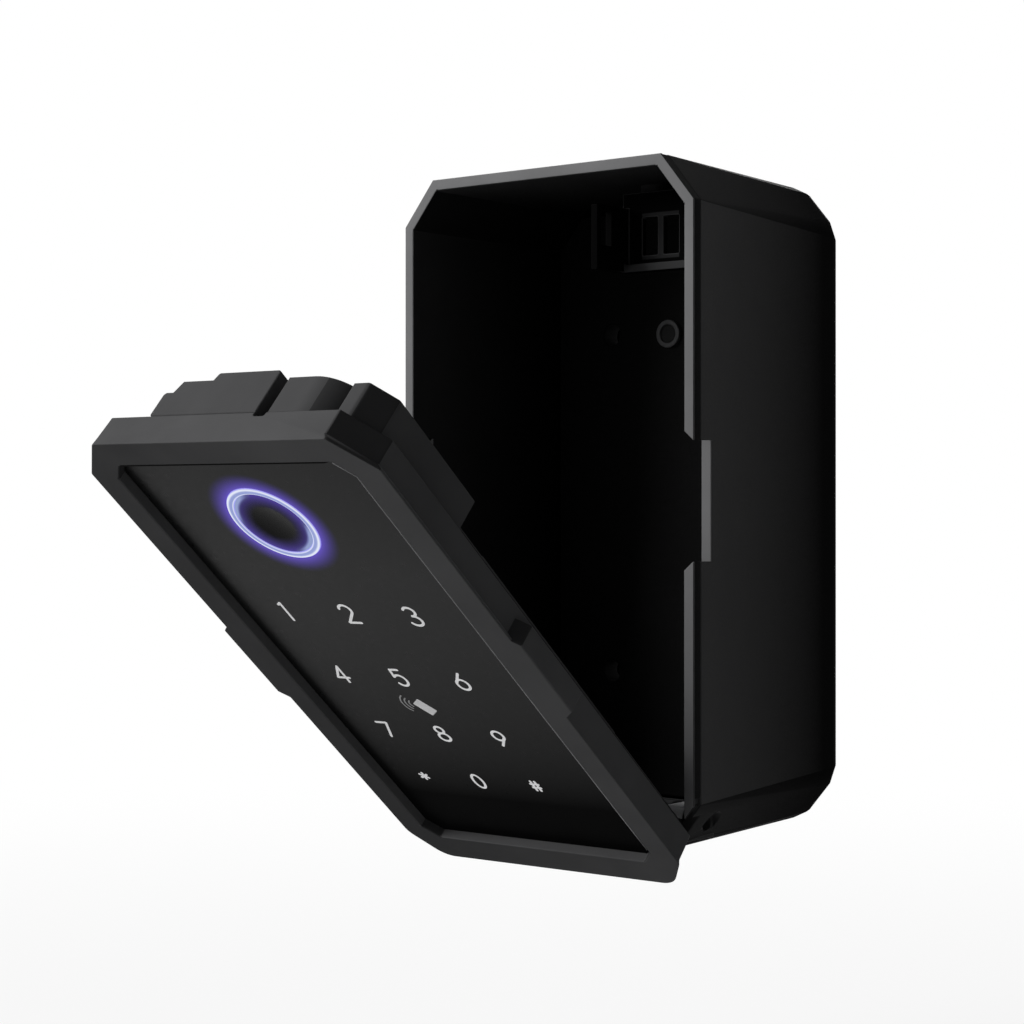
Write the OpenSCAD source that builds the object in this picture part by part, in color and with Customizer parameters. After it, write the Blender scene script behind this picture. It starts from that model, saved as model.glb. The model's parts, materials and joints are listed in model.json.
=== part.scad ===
// Smart key lockbox: a wall case with a drop-down door that carries a touch panel and a motor latch.
// Millimetres, +Z up. The origin is the centre of the wall face and +Y points into the wall.

/* [Case] */
// Width of the case at the rim
case_w = 71; // [68:0.5:80]
// Height of the case at the rim
case_h = 130; // [126:0.5:140]
// Depth from the rim to the wall
case_d = 55.6; // [52:0.2:65]
// Corner cut along the width
corner_x = 7.4; // [6.5:0.1:8.5]
// Corner cut along the height
corner_z = 9; // [8:0.1:10]
// Wall thickness
wall = 2.2; // [2:0.1:2.6]
// Thickness of the back wall
back_t = 4; // [3:0.1:5]
// Lean of each side wall from rim to back
draft_x = 1.4; // [0.5:0.1:1.6]
// Lean of the top and bottom walls from rim to back
draft_z = 0.6; // [0.5:0.1:1.6]
// Rounding of the back edges
back_round = 3.5; // [2:0.5:5]
// Rounding of the corners at the back
back_corner = 2; // [1.5:0.1:3]
// Depth of the back liner in front of the back wall
liner_d = 5.4; // [4:0.1:6]
// Height of the finger notches on the outside
notch_h = 22; // [20:0.5:24]
// Depth of the finger notches behind the rim
notch_d = 6; // [5:0.1:7]

/* [Wall screws] */
// Hole spacing across
screw_across = 35; // [30:0.5:38]
// Hole spacing up
screw_up = 72; // [66:0.5:76]
// Hole diameter
screw_hole = 4.4; // [3.6:0.1:5]

/* [Door] */
// Angle of the open door from the closed place
door_open = 49; // [40:0.5:52]
// Gap between the door and the side walls
side_gap = 0.3; // [0.25:0.05:0.5]
// Gap above and below the door
end_gap = 0.9; // [0.8:0.05:1.2]
// How far the closed door stands out of the rim
proud = 1.5; // [1:0.1:1.8]
// Thickness of the door frame
frame_t = 6.4; // [6.2:0.1:7]
// Depth of the panel face below the frame face
recess = 1.8; // [1.4:0.1:2]
// Frame border at each side of the panel
border_side = 4.9; // [4.6:0.1:5.4]
// Frame border above and below the panel
border_end = 6.1; // [5.6:0.1:6.6]
// How far the finger ears stand out
ear_out = 2.5; // [1.9:0.1:2.6]
// How far the front of the door laps the rim above the ears
lap_up = 1; // [0.6:0.1:1.2]
// How far it laps the rim below the ears
lap_low = 0.35; // [0.2:0.05:0.6]

/* [Hinge] */
// Pin axis behind the rim
pin_deep = 11.7; // [11.5:0.1:12.2]
// Pin axis above the underside of the case
pin_up = 4.4; // [4.2:0.1:4.8]
// Pin diameter
pin_dia = 3; // [2.6:0.1:3]
// Distance of each hinge lug from the centre
lug_at = 20; // [16:0.5:22]
// Width of a hinge lug
lug_w = 7; // [5:0.5:8]

/* [Sensor] */
// Outer radius of the lit ring
ring_r = 9; // [8:0.1:9.6]
// Width of the lit ring
ring_w = 1.5; // [1.2:0.1:2]
// Ring centre below the upper edge of the door
ring_drop = 22.6; // [20.8:0.2:25.8]
// Ring centre from the door centre, right positive
ring_u = -2.0; // [-2.5:0.1:0]

/* [Latch] */
// Travel of the bolt
bolt_travel = 3.5; // [3:0.1:3.6]
// Pitch radius of the drive pinion
pinion_r = 4; // [3.6:0.1:4.4]
// Number of pinion teeth
pinion_teeth = 10; // [8:1:12]

/* [Battery] */
// Cell diameter
cell_dia = 10.3; // [10:0.1:10.4]
// Cell length with its nub
cell_len = 44.5; // [44:0.1:44.8]
// Number of cells
cells = 3; // [2:1:3]

/* [Hidden] */
$fn = 64;
eps = 0.01;
// Fit of a piece laid in a pocket, running fit of the pin, room round a moving piece, grip of a screw
seat_fit = 0.15;
pin_fit = 0.05;
run_room = 0.35;
grip = 0.05;
head_room = 0.1;
press = 0.02;
// How far a cut runs past a face
over = 1;
// Pads under the wall face, and the hinge curb that the lugs pass through
foot_t = 0.6;
edge_follow = 0.7;
curb_r = 6.3;
curb_behind = 4.5;
curb_above = 3.3;
mouth_up = 7.4;
lug_r = 3.6;
lug_room_up = 8;
bush_wall = 0.8;
counterbore_r = 2.3;
counterbore_d = 1.4;
// Door sizes
door_w = case_w - 2*(wall + side_gap);
door_h = case_h - 2*(wall + end_gap);
panel_w = door_w - 2*border_side;
panel_h = door_h - 2*border_end;
panel_t = 1.4;
panel_corner_x = 3;
panel_corner_z = 3.4;
panel_up = 0.6;
corner_follow = 0.6;
seat_w = 2.5;
tape_t = 0.15;
tape_gap = 0.2;
board_t = 0.8;
board_gap = 0.2;
board_side = 0.3;
// Finger notches and the ears of the door that sit in them
notch_z0 = -10.7;
notch_flare = 1.9;
ear_t = 4.4;
ear_ramp = 2.1;
ear_gap_low = 2.5;
ear_gap_high = 0.7;
ear_v0 = door_h/2 + notch_z0 - notch_flare + ear_gap_low;
ear_v1 = door_h/2 + notch_z0 + notch_h + notch_flare - ear_gap_high;
// Lap of the front over the rim: its thickness, gap to the rim, reach below, and corner cuts
lap_edge = 0.4;
lap_gap = 0.2;
lap_foot = 0.3;
lap_corner_up = 0.5;
lap_corner_low = 5.2;
lap_round_up = 1;
lap_round_low = 5;
// Rear cover: the low part, the deep upper part, and the latch block at the top
cover_inset = 3;
deep_inset = 1.85;
deep_corner = 0.75;
cavity_inset = 4.6;
cover_v0 = 8;
cover_t = 2.5;
cover_low = frame_t + cover_t;
deep_t = 7.6;
cover_deep = frame_t + deep_t;
deep_h = 30.8;
deep_v = door_h - deep_h;
cover_wall = 1.4;
block_u0 = -17.7;
block_u1 = 7.9;
block_h = 39.8;
block_v0 = door_h - block_h;
block_t = 9.6;
block_deep = frame_t + block_t;
block_wall = 1;
block_edge = 0.6;
step_low = 4.1;
step_mid = 1.6;
step_at = [2.2, 3.1, 10.3, 10.8];
slot_w = 2.5;
slot_h = 17.8;
slot_v0 = door_h - slot_h;
slot_w0 = frame_t - 0.8;
hump_t = 7.8;
hump_r = 9;
hump_flat = 6.1;
hump_drop = 0.2;
hump_end = 9.2;
// Ring and sensor
ring_v = door_h - ring_drop;
ring_in = ring_r - ring_w;
ring_lip = 0.1;
sensor_behind = 0.4;
dish_r = 28;
dish_d = 0.4;
// Bolt, pinion and motor places on the door
bolt_top = 6.3;
bolt_h = 5;
bolt_v1 = door_h - bolt_top;
bolt_v0 = bolt_v1 - bolt_h;
bolt_w0 = frame_t + 1.4;
bolt_t = 2.6;
bolt_w1 = bolt_w0 + bolt_t;
bolt_back = 0.5;
bolt_len = 20.1;
bolt_u1 = block_u1 - bolt_back;
bolt_u0 = bolt_u1 - bolt_len;
bolt_room = 0.3;
guide_t = 2;
pinion_in = 12.4;
pinion_u = block_u1 - pinion_in;
tooth_depth = 1.4;
tooth_foot = 0.2;
tooth_gap = 0.25;
rack_first = -2;
rack_last = 1;
tooth_pitch = 2*PI*pinion_r/pinion_teeth;
tooth_root = 0.247*tooth_pitch;
tooth_tip = 0.1*tooth_pitch;
pinion_v = bolt_v0 - pinion_r - tooth_gap;
pinion_t = 2.2;
shaft_r = 1;
shaft_in = 0.3;
gearbox_gap = 0.3;
gearbox_t = 2.65;
gearbox_w1 = bolt_w0 - gearbox_gap;
gearbox_w0 = gearbox_w1 - gearbox_t;
gearbox_half = 5;
gearbox_low = 7.5;
gearbox_high = 3.4;
gearbox_room = 1.4;
motor_r = 3;
motor_up = 1.5;
motor_v0 = block_v0 + motor_up;
motor_w = gearbox_w1 + 0.5;
// Motor clamp
clamp_up = 7;
clamp_v = block_v0 + clamp_up;
clamp_t = 0.8;
clamp_half = 6.2;
clamp_rise = 2;
clamp_side = 0.7;
clamp_top = 0.5;
clamp_spread = 4.9;
clamp_screw_r = 0.6;
clamp_screw_d = 3.4;
clamp_head_r = 1;
clamp_head_t = 0.7;
post_r = 1.5;
// Main board beside the slot
main_gap = 0.4;
main_side = 8;
main_u0 = block_u1 + slot_w + main_gap;
main_u1 = door_w/2 - main_side;
main_w0 = frame_t + 1.2;
main_end = 1;
chip = 5;
chip_t = 1.2;
plug_w = 3;
plug_t = 0.8;
// Battery bay
bay_wall = 2;
bay_floor = 0.8;
bay_gap = 0.6;
bay_side = 0.4;
bay_place = 0.605;
cell_gap = 0.5;
cell_room = 0.05;
cell_nub_r = 1.9;
cell_nub = 1;
contact_room = 3.4;
contact_t = 0.4;
contact_half = 4;
contact_deep = 3.8;
spring_r = 3;
spring_tip = 2;
spring_h = 1.3;
stud_r = 1.5;
bay_front = recess + panel_t + board_gap + board_t + bay_gap;
cell_w = bay_front + bay_floor + cell_room + cell_dia/2;
bay_u = cells*cell_dia/2 + (cells + 1)*cell_gap/2 + bay_side;
bay_len = cell_len + contact_room;
bay_v0 = cover_v0 + bay_wall + bay_place*(block_v0 - cover_v0 - bay_len - 2*bay_wall);
bay_v1 = bay_v0 + bay_len;
lid_gap = 0.25;
lid_w0 = cell_w + cell_dia/2 + lid_gap;
lid_t = 1.5;
lid_tongue = 0.8;
lid_fit = 0.15;
lid_end = 0.2;
grip_half = 7;
grip_t = 1;
grip_d = 0.4;
grip_count = 5;
// Cover screws, in rows up the two sides of the door
spot_side = 5.4;
spot_end = 15;
spot_u = door_w/2 - spot_side;
spot_rows = [spot_end, door_h/2, door_h - spot_end];
cover_screw_r = 1;
cover_screw_d = 2.4;
cover_head_r = 1.9;
cover_head_t = 1.1;
seal_out = 1.9;
seal_t = 1.5;
// Strike bracket under the ceiling of the case
strike_t = 1.5;
strike_gap = 0.5;
strike_side = 10.5;
strike_x0 = block_u1 + strike_gap;
strike_x1 = case_w/2 - strike_side;
strike_deep = 15;
strike_drop = 4.4;
strike_h = 15.6;
strike_top = case_h/2 - strike_drop;
strike_low = strike_top - strike_h;
flange_d = 1.5;
top_flange = 10;
tongue_drop = 3;
bolt_slack = 0.8;
window_w = 3.6;
window_gap = 1.4;
window_low = 3.2;
window_high = 5;
boss_r = 3;
spot_in = 3.8;
spot_out = 2.7;
strike_spots = [strike_x0 + spot_in, strike_x1 - spot_out];
strike_screw_deep = 21;
strike_screw_r = 0.9;
strike_screw_len = 1.2;
strike_head_r = 2;
strike_head_t = 1.1;
// Band behind the rim
band_d0 = 0.5;
band_d1 = 2.4;
band_t = 0.8;
band_sink = 0.1;
band_low = 6;
// Back liner and its plug
liner_t = 2;
liner_gap = 0.4;
boss_wall = 2;
plug_x = -2.2;
plug_drop = 29.5;
plug_z = case_h/2 - plug_drop;
plug_r = 2.95;
plug_flange = 1;
plug_lip = 0.9;
plug_blind = 0.4;

function deep(d) = d - case_d;
function on_door(w) = deep(w - proud);
function door_z(v) = v - door_h/2;
corner_len = sqrt(corner_x*corner_x + corner_z*corner_z);
function cut_x(t) = corner_x - t + t*(corner_len - corner_x)/corner_z;
function cut_z(t) = corner_z - t + t*(corner_len - corner_z)/corner_x;
function lean(d) = d/case_d;
pin_at = [0, deep(pin_deep), pin_up - case_h/2];
pin_r = pin_dia/2;
bush_r = pin_r + pin_fit + bush_wall;
sensor_w0 = recess;
sensor_w1 = recess + panel_t + sensor_behind;

module octagon(w, h, cx, cz) {
    x = w/2;
    z = h/2;
    polygon([[x - cx, z], [x, z - cz], [x, cz - z], [x - cx, -z],
        [cx - x, -z], [-x, cz - z], [-x, z - cz], [cx - x, z]]);
}

// Octagon with a further cut at each corner
module soft_octagon(w, h, cx, cz, cut) {
    x = w/2;
    z = h/2;
    ax = cut*cx/norm([cx, cz]);
    az = cut*cz/norm([cx, cz]);
    for (flip = [0, 1]) mirror([flip, 0]) polygon([[0, z], [x - cx - cut, z], [x - cx + ax, z - az],
        [x - ax, z - cz + az], [x, z - cz - cut], [x, cut + cz - z], [x - ax, cz - z - az],
        [x - cx + ax, az - z], [x - cx - cut, -z], [0, -z]]);
}

// Case outline moved inwards by t
module case_outline(t) {
    octagon(case_w - 2*t, case_h - 2*t, cut_x(t), cut_z(t));
}

// Case outline at depth d, leaning in with the walls
module leaning_outline(t, d) {
    octagon(case_w - 2*t - 2*draft_x*lean(d), case_h - 2*t - 2*draft_z*lean(d), cut_x(t), cut_z(t));
}

// The same with soft corners, for the back of the case
module back_outline(t, d) {
    w = case_w - 2*t - 2*draft_x*lean(d);
    h = case_h - 2*t - 2*draft_z*lean(d);
    soft_octagon(w, h, cut_x(t), cut_z(t), back_corner);
}

module door_outline(t) {
    octagon(door_w - 2*t, door_h - 2*t, cut_x(wall + side_gap + t), cut_z(wall + side_gap + t));
}

// Front of the door with round corners, wider than the mouth by out
module lap_outline(out, round) {
    x = door_w/2 + out;
    z = door_h/2;
    cx = cut_x(wall + side_gap) + out - lap_corner_up;
    cz = cut_z(wall + side_gap);
    offset(r = round) offset(delta = -round)
        polygon([[x - cx, z], [x, z - cz], [x, cz - z], [x - lap_corner_low, -z - lap_foot],
            [lap_corner_low - x, -z - lap_foot], [-x, cz - z], [-x, z - cz], [cx - x, z]]);
}

module panel_outline(t) {
    translate([0, panel_up])
        octagon(panel_w - 2*t, panel_h - 2*t, panel_corner_x - corner_follow*t, panel_corner_z - corner_follow*t);
}

// Extrudes an outline drawn across X and Z from y0 to y1
module along_y(y0, y1) {
    translate([0, y1, 0]) rotate([90, 0, 0]) linear_extrude(y1 - y0) children();
}

// Extrudes an outline on the door from depth w0 to w1
module door_layer(w0, w1) {
    along_y(on_door(w0), on_door(w1)) children();
}

// Block between two corners
module box(low, high) {
    translate(low) cube(high - low);
}

// Block on the door, by across, depth and up
module door_box(u0, u1, w0, w1, v0, v1) {
    box([u0, on_door(w0), door_z(v0)], [u1, on_door(w1), door_z(v1)]);
}

// Round bar through the thickness of the door
module door_bar(u, v, r, w0, w1) {
    translate([u, on_door(w0), door_z(v)]) rotate([-90, 0, 0]) cylinder(r = r, h = w1 - w0);
}

// Turns the closed door to its open place
module in_door() {
    translate(pin_at) rotate([door_open, 0, 0]) translate(-pin_at) children();
}

// Bar along the hinge axis
module hinge_bar(r, x0, x1) {
    translate([x0, pin_at.y, pin_at.z]) rotate([0, 90, 0]) cylinder(r = r, h = x1 - x0);
}

module case_outer() {
    hull() {
        along_y(deep(0), deep(eps)) case_outline(0);
        for (a = [0:30:90]) {
            d = case_d - foot_t - back_round*(1 - sin(a));
            along_y(deep(d - eps), deep(d)) back_outline(back_round*(1 - cos(a))*edge_follow, d);
        }
    }
    along_y(-foot_t - eps, 0) back_outline(back_round, case_d);
}

module case_inner() {
    hull() {
        along_y(deep(-eps), deep(0)) case_outline(wall);
        along_y(-back_t - eps, -back_t) leaning_outline(wall, case_d - back_t);
    }
    along_y(deep(-over), deep(0)) case_outline(wall);
}

// Room for the lower edge of the door, which swings down through the front of the floor
module swing_room() {
    half = case_w/2 - wall;
    box([-half, deep(-over), -case_h], [half, deep(pin_deep - curb_r), pin_at.z + mouth_up]);
    difference() {
        box([-half, deep(-over), -case_h], [half, pin_at.y, pin_at.z]);
        hinge_bar(curb_r, -half - over, half + over);
    }
}

// Curb on the floor, rounded about the pin
module hinge_curb() {
    half = case_w/2 - corner_x + over;
    top = pin_at.z + curb_above;
    box([-half, pin_at.y, -case_h/2 + wall/2], [half, pin_at.y + curb_behind, top]);
    intersection() {
        hinge_bar(curb_r, -half, half);
        box([-half, deep(-over), -case_h/2 + wall/2], [half, pin_at.y + eps, top]);
    }
}

module lug_slots() {
    w = lug_w/2 + run_room;
    for (side = [-1, 1])
        box([side*lug_at - w, deep(-over), -case_h], [side*lug_at + w, pin_at.y + lug_r + run_room,
            pin_at.z + lug_room_up]);
}

// Finger notches, wider at the inside
module notches() {
    x = case_w/2;
    for (side = [-1, 1]) mirror([side < 0 ? 1 : 0, 0, 0])
        along_y(deep(-over), deep(notch_d)) polygon([
            [x - wall - over, notch_z0 - notch_flare], [x - wall, notch_z0 - notch_flare],
            [x, notch_z0], [x + over, notch_z0], [x + over, notch_z0 + notch_h], [x, notch_z0 + notch_h],
            [x - wall, notch_z0 + notch_h + notch_flare],
            [x - wall - over, notch_z0 + notch_h + notch_flare]]);
}

module band_groove() {
    difference() {
        along_y(deep(band_d0), deep(band_d1)) square([2*case_w, 2*case_h], center = true);
        along_y(deep(-over), deep(case_d)) case_outline(band_t);
    }
}

module wall_holes(r, y0, y1) {
    for (x = [-1, 1], z = [-1, 1])
        translate([x*screw_across/2, y0, z*screw_up/2]) rotate([-90, 0, 0]) cylinder(r = r, h = y1 - y0);
}

module strike_bores(r, z0, z1) {
    for (x = strike_spots) translate([x, deep(strike_screw_deep), z0]) cylinder(r = r, h = z1 - z0);
}

module case_shell() {
    color([0.09, 0.09, 0.1]) difference() {
        union() {
            difference() {
                case_outer();
                case_inner();
            }
            hinge_curb();
            strike_bores(boss_r, strike_top, case_h/2 - wall/2);
        }
        swing_room();
        lug_slots();
        notches();
        band_groove();
        hinge_bar(pin_r + pin_fit, -case_w/2 + corner_x, case_w);
        hinge_bar(counterbore_r, case_w/2 - corner_x/2 - counterbore_d, case_w);
        wall_holes(screw_hole/2, -case_d, over);
        strike_bores(strike_screw_r, strike_top - over, case_h/2 - wall/3);
    }
}

module rim_band() {
    color([0.02, 0.02, 0.02]) difference() {
        along_y(deep(band_d0), deep(band_d1)) difference() {
            case_outline(band_sink);
            case_outline(band_t);
        }
        swing_room();
        notches();
        box([-case_w, deep(-over), -case_h], [case_w, deep(2*band_d1), pin_at.z + band_low]);
    }
}

module back_liner() {
    front = -back_t - liner_d;
    t = wall + liner_gap;
    color([0.06, 0.06, 0.065]) difference() {
        union() {
            along_y(front, front + liner_t) liner_outline(t);
            along_y(front, -back_t) difference() {
                liner_outline(t);
                liner_outline(t + liner_t);
            }
            wall_holes(screw_hole/2 + boss_wall, front, -back_t);
        }
        wall_holes(screw_hole/2, front - over, 0);
        translate([plug_x, front - over, plug_z]) rotate([-90, 0, 0])
            cylinder(r = plug_r - plug_flange, h = liner_t + 2*over);
    }
}

module liner_outline(t) {
    leaning_outline(t, case_d);
}

// Rubber plug with a flange and a blind middle
module hole_plug() {
    front = -back_t - liner_d;
    color([0.03, 0.03, 0.03]) translate([plug_x, front, plug_z]) rotate([90, 0, 0]) difference() {
        union() {
            cylinder(r = plug_r, h = plug_lip);
            translate([0, 0, -liner_t]) cylinder(r = plug_r - plug_flange - press, h = liner_t + plug_blind);
        }
        translate([0, 0, plug_blind]) cylinder(r = plug_r - plug_flange, h = over);
    }
}

// Plate with two windows, a lower flange, a top flange and the tongue that the bolt enters
module strike_bracket() {
    front = deep(strike_deep);
    back = deep(strike_deep + strike_t);
    mid = (strike_x0 + strike_t + strike_x1)/2;
    color([0.16, 0.16, 0.17]) difference() {
        union() {
            box([strike_x0, front, strike_low], [strike_x1, back, strike_top]);
            box([strike_x0, front - flange_d, strike_low], [strike_x1, back, strike_low + strike_t]);
            box([strike_x0, front, strike_top - strike_t], [strike_x1, front + top_flange, strike_top]);
            box([strike_x0, on_door(slot_w0 + bolt_back), strike_low],
                [strike_x0 + strike_t, back, strike_top - tongue_drop]);
        }
        for (x = [mid - window_gap/2 - window_w, mid + window_gap/2])
            box([x, front - over, strike_low + window_low],
                [x + window_w, back + over, strike_top - window_high]);
        box([strike_x0 - over, on_door(bolt_w0 - run_room), door_z(bolt_v0) - bolt_slack],
            [strike_x0 + strike_t + over, on_door(bolt_w1 + run_room), door_z(bolt_v1) + bolt_slack]);
        strike_bores(strike_screw_r + seat_fit, strike_top - 2*strike_t, strike_top + over);
    }
}

module strike_screws() {
    color("silver") {
        strike_bores(strike_screw_r - grip, strike_top - strike_t - eps, strike_top + strike_screw_len);
        strike_bores(strike_head_r, strike_top - strike_t - strike_head_t, strike_top - strike_t);
    }
}

module hinge_pin() {
    color("silver") hinge_bar(pin_r, -case_w/2 + corner_x + seat_fit, case_w/2 - corner_x);
}

module hinge_bushes() {
    color([0.62, 0.62, 0.6]) in_door() for (side = [-1, 1]) difference() {
        hinge_bar(bush_r, side*lug_at - lug_w/2, side*lug_at + lug_w/2);
        hinge_bar(pin_r + pin_fit, side*lug_at - lug_w, side*lug_at + lug_w);
    }
}

// Lug from the back of the frame to the knuckle round the pin
module door_lugs() {
    for (side = [-1, 1]) {
        x0 = side*lug_at - lug_w/2;
        hinge_bar(lug_r, x0, x0 + lug_w);
        box([x0, on_door(frame_t - over), pin_at.z - lug_r/2], [x0 + lug_w, pin_at.y, pin_at.z + lug_r]);
    }
}

// Front edge between two heights, falling back to the door outline before the rim
module door_lap(out, round, v0, v1) {
    hull() {
        door_layer(0, lap_edge) intersection() {
            lap_outline(out, round);
            translate([-door_w, door_z(v0)]) square([2*door_w, v1 - v0]);
        }
        door_layer(0, proud - lap_gap) intersection() {
            door_outline(0);
            translate([-door_w, door_z(v0)]) square([2*door_w, v1 - v0]);
        }
    }
}

module door_ears() {
    x = door_w/2;
    for (side = [-1, 1]) mirror([side < 0 ? 1 : 0, 0, 0])
        door_layer(0, ear_t) polygon([
            [x - over, door_z(ear_v0)], [x, door_z(ear_v0)], [x + ear_out, door_z(ear_v0 + ear_ramp)],
            [x + ear_out, door_z(ear_v1 - ear_ramp)], [x, door_z(ear_v1)], [x - over, door_z(ear_v1)]]);
}

// Bars at the places of the cover screws
module cover_bars(r, w0, w1) {
    for (side = [-1, 1], v = spot_rows) door_bar(side*spot_u, v, r, w0, w1);
}

// Slot at the top of the door for the tongue of the strike
module tongue_slot() {
    door_box(block_u1, block_u1 + slot_w, slot_w0, block_deep + over, slot_v0, door_h + over);
}

module door_frame() {
    color([0.13, 0.13, 0.135]) in_door() difference() {
        union() {
            door_layer(0, frame_t) door_outline(0);
            door_lap(lap_up, lap_round_up, (ear_v0 + ear_v1)/2, door_h);
            door_lap(lap_low, lap_round_low, -over, (ear_v0 + ear_v1)/2);
            door_ears();
            door_lugs();
        }
        door_layer(-over, recess + panel_t) panel_outline(0);
        door_layer(recess, frame_t + over) panel_outline(seat_w);
        tongue_slot();
        for (side = [-1, 1]) hinge_bar(bush_r + press, side*lug_at - lug_w, side*lug_at + lug_w);
        cover_bars(cover_screw_r, frame_t - cover_screw_d - seat_fit, frame_t + over);
    }
}

module touch_panel() {
    color([0.03, 0.03, 0.035]) in_door() difference() {
        door_layer(recess, recess + panel_t - tape_t) panel_outline(seat_fit);
        door_bar(ring_u, ring_v, ring_r + seat_fit/2, recess - over, frame_t);
    }
}

// Double-sided tape between the panel and its seat
module panel_tape() {
    color([0.1, 0.1, 0.1]) in_door() door_layer(recess + panel_t - tape_t, recess + panel_t) difference() {
        panel_outline(seat_fit + tape_gap);
        panel_outline(seat_w);
    }
}

module ring_lens() {
    color([0.75, 0.78, 1]) in_door() difference() {
        door_bar(ring_u, ring_v, ring_r, sensor_w0 - ring_lip, sensor_w1);
        door_bar(ring_u, ring_v, ring_in, sensor_w0 - over, sensor_w1 + over);
    }
}

module sensor_cap() {
    color([0.02, 0.02, 0.02]) in_door() difference() {
        door_bar(ring_u, ring_v, ring_in - press, sensor_w0, sensor_w1);
        translate([ring_u, on_door(sensor_w0) - dish_r + dish_d, door_z(ring_v)]) sphere(r = dish_r);
    }
}

module sensor_board() {
    color([0.05, 0.2, 0.12]) in_door() {
        door_bar(ring_u, ring_v, ring_r, sensor_w1, sensor_w1 + board_t);
        door_box(ring_u - plug_w, ring_u + plug_w, sensor_w1 + board_t - eps, sensor_w1 + board_t + contact_t,
            ring_v - ring_r + main_end, ring_v - ring_r + main_end + plug_w);
    }
}

// Touch board behind the panel, cut round the sensor
module touch_board() {
    w0 = recess + panel_t + board_gap;
    color([0.06, 0.24, 0.14]) in_door() difference() {
        door_layer(w0, w0 + board_t) panel_outline(seat_w + board_side);
        door_bar(ring_u, ring_v, ring_r + board_side, 0, frame_t);
    }
}

// Outline of the rear cover down to the hinge
module cover_outline(t) {
    intersection() {
        door_outline(t);
        translate([-door_w, door_z(cover_v0)]) square([2*door_w, door_h]);
    }
}

// Outline of the deep upper part, with smaller corner cuts
module deep_outline() {
    t = wall + side_gap + deep_inset;
    octagon(door_w - 2*deep_inset, door_h - 2*deep_inset, deep_corner*cut_x(t), deep_corner*cut_z(t));
}

// Stepped latch block, seen from above
module block_outline(t) {
    low = block_deep - step_low - t;
    mid = block_deep - step_mid - t;
    high = block_deep - t;
    left = block_u0 + t;
    right = block_u1 - t;
    polygon([[left, on_door(frame_t)], [left, on_door(low - block_edge)], [left + block_edge, on_door(low)],
        [left + step_at[0], on_door(low)], [left + step_at[1], on_door(mid)],
        [left + step_at[2], on_door(mid)],
        [left + step_at[3], on_door(high)], [right - block_edge, on_door(high)],
        [right, on_door(high - block_edge)], [right, on_door(frame_t)]]);
}

module up_door(v0, v1) {
    translate([0, 0, door_z(v0)]) linear_extrude(v1 - v0) children();
}

// Raised part at the right of the slot, whose top falls in a curve to the side
module hump() {
    u0 = block_u1 + slot_w;
    u1 = door_w/2 - hump_end;
    v0 = slot_v0 - cover_wall;
    top = door_h - hump_drop;
    w1 = frame_t + hump_t;
    door_box(u0, u0 + hump_flat, frame_t, w1, v0, top);
    intersection() {
        door_box(u0, u1, frame_t, w1, v0, top);
        union() {
            door_box(u0, u1, frame_t, w1, v0, top - hump_r);
            door_bar(u0 + hump_flat, top - hump_r, hump_r, frame_t, w1);
        }
    }
}

// Room above the curved top, cut from the housing round it
module hump_room() {
    u0 = block_u1 + slot_w;
    difference() {
        door_box(u0, door_w/2 - hump_end, frame_t, block_deep, door_h - hump_drop - hump_r, door_h + over);
        hump();
    }
}

module bay_shell() {
    u = bay_u + bay_wall;
    w1 = lid_w0 + lid_t;
    door_box(-u, u, bay_front, lid_w0 - lid_fit, bay_v0 - bay_wall, bay_v1 + bay_wall);
    for (side = [-1, 1])
        door_box(side*u - (side > 0 ? bay_wall : 0), side*u + (side < 0 ? bay_wall : 0), frame_t, w1,
            bay_v0 - bay_wall, bay_v1 + bay_wall);
    door_box(-u, u, frame_t, w1, bay_v1, bay_v1 + bay_wall);
}

module bay_room() {
    groove = bay_u + lid_tongue + lid_end;
    foot = bay_v0 - bay_wall - over;
    top = lid_w0 + lid_t + over;
    door_box(-bay_u, bay_u, bay_front + bay_floor, top, bay_v0, bay_v1);
    door_box(-groove, groove, lid_w0 - lid_fit, lid_w0 + lid_tongue + lid_fit, foot, bay_v1);
    door_box(-bay_u, bay_u, lid_w0 - lid_fit, top, foot, bay_v1);
}

// Rib under the bolt
module bolt_guide(u0, u1) {
    door_box(u0, u1, bolt_w0 - bolt_room, block_deep, bolt_v0 - run_room - guide_t, bolt_v0 - run_room);
}

module block_room() {
    difference() {
        up_door(block_v0 + block_wall, bolt_v1 + run_room) translate([0, -eps]) block_outline(block_wall);
        bolt_guide(block_u0, pinion_u - pinion_r - guide_t);
        bolt_guide(pinion_u + (rack_last + 1)*tooth_pitch + bolt_travel, block_u1);
    }
    half = gearbox_half + gearbox_room;
    door_box(pinion_u - half, pinion_u + half, frame_t - over, motor_w, block_v0 + block_wall, bolt_v0);
}

// Bars at the places of the clamp screws
module clamp_bars(r, w0, w1) {
    for (side = [-1, 1]) door_bar(pinion_u + side*clamp_spread, clamp_v, r, w0, w1);
}

// Posts inside the latch block that the motor clamp is screwed to
module clamp_posts() {
    difference() {
        clamp_bars(post_r, motor_w, block_deep);
        clamp_bars(clamp_screw_r, motor_w - over, motor_w + clamp_screw_d);
    }
}

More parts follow.
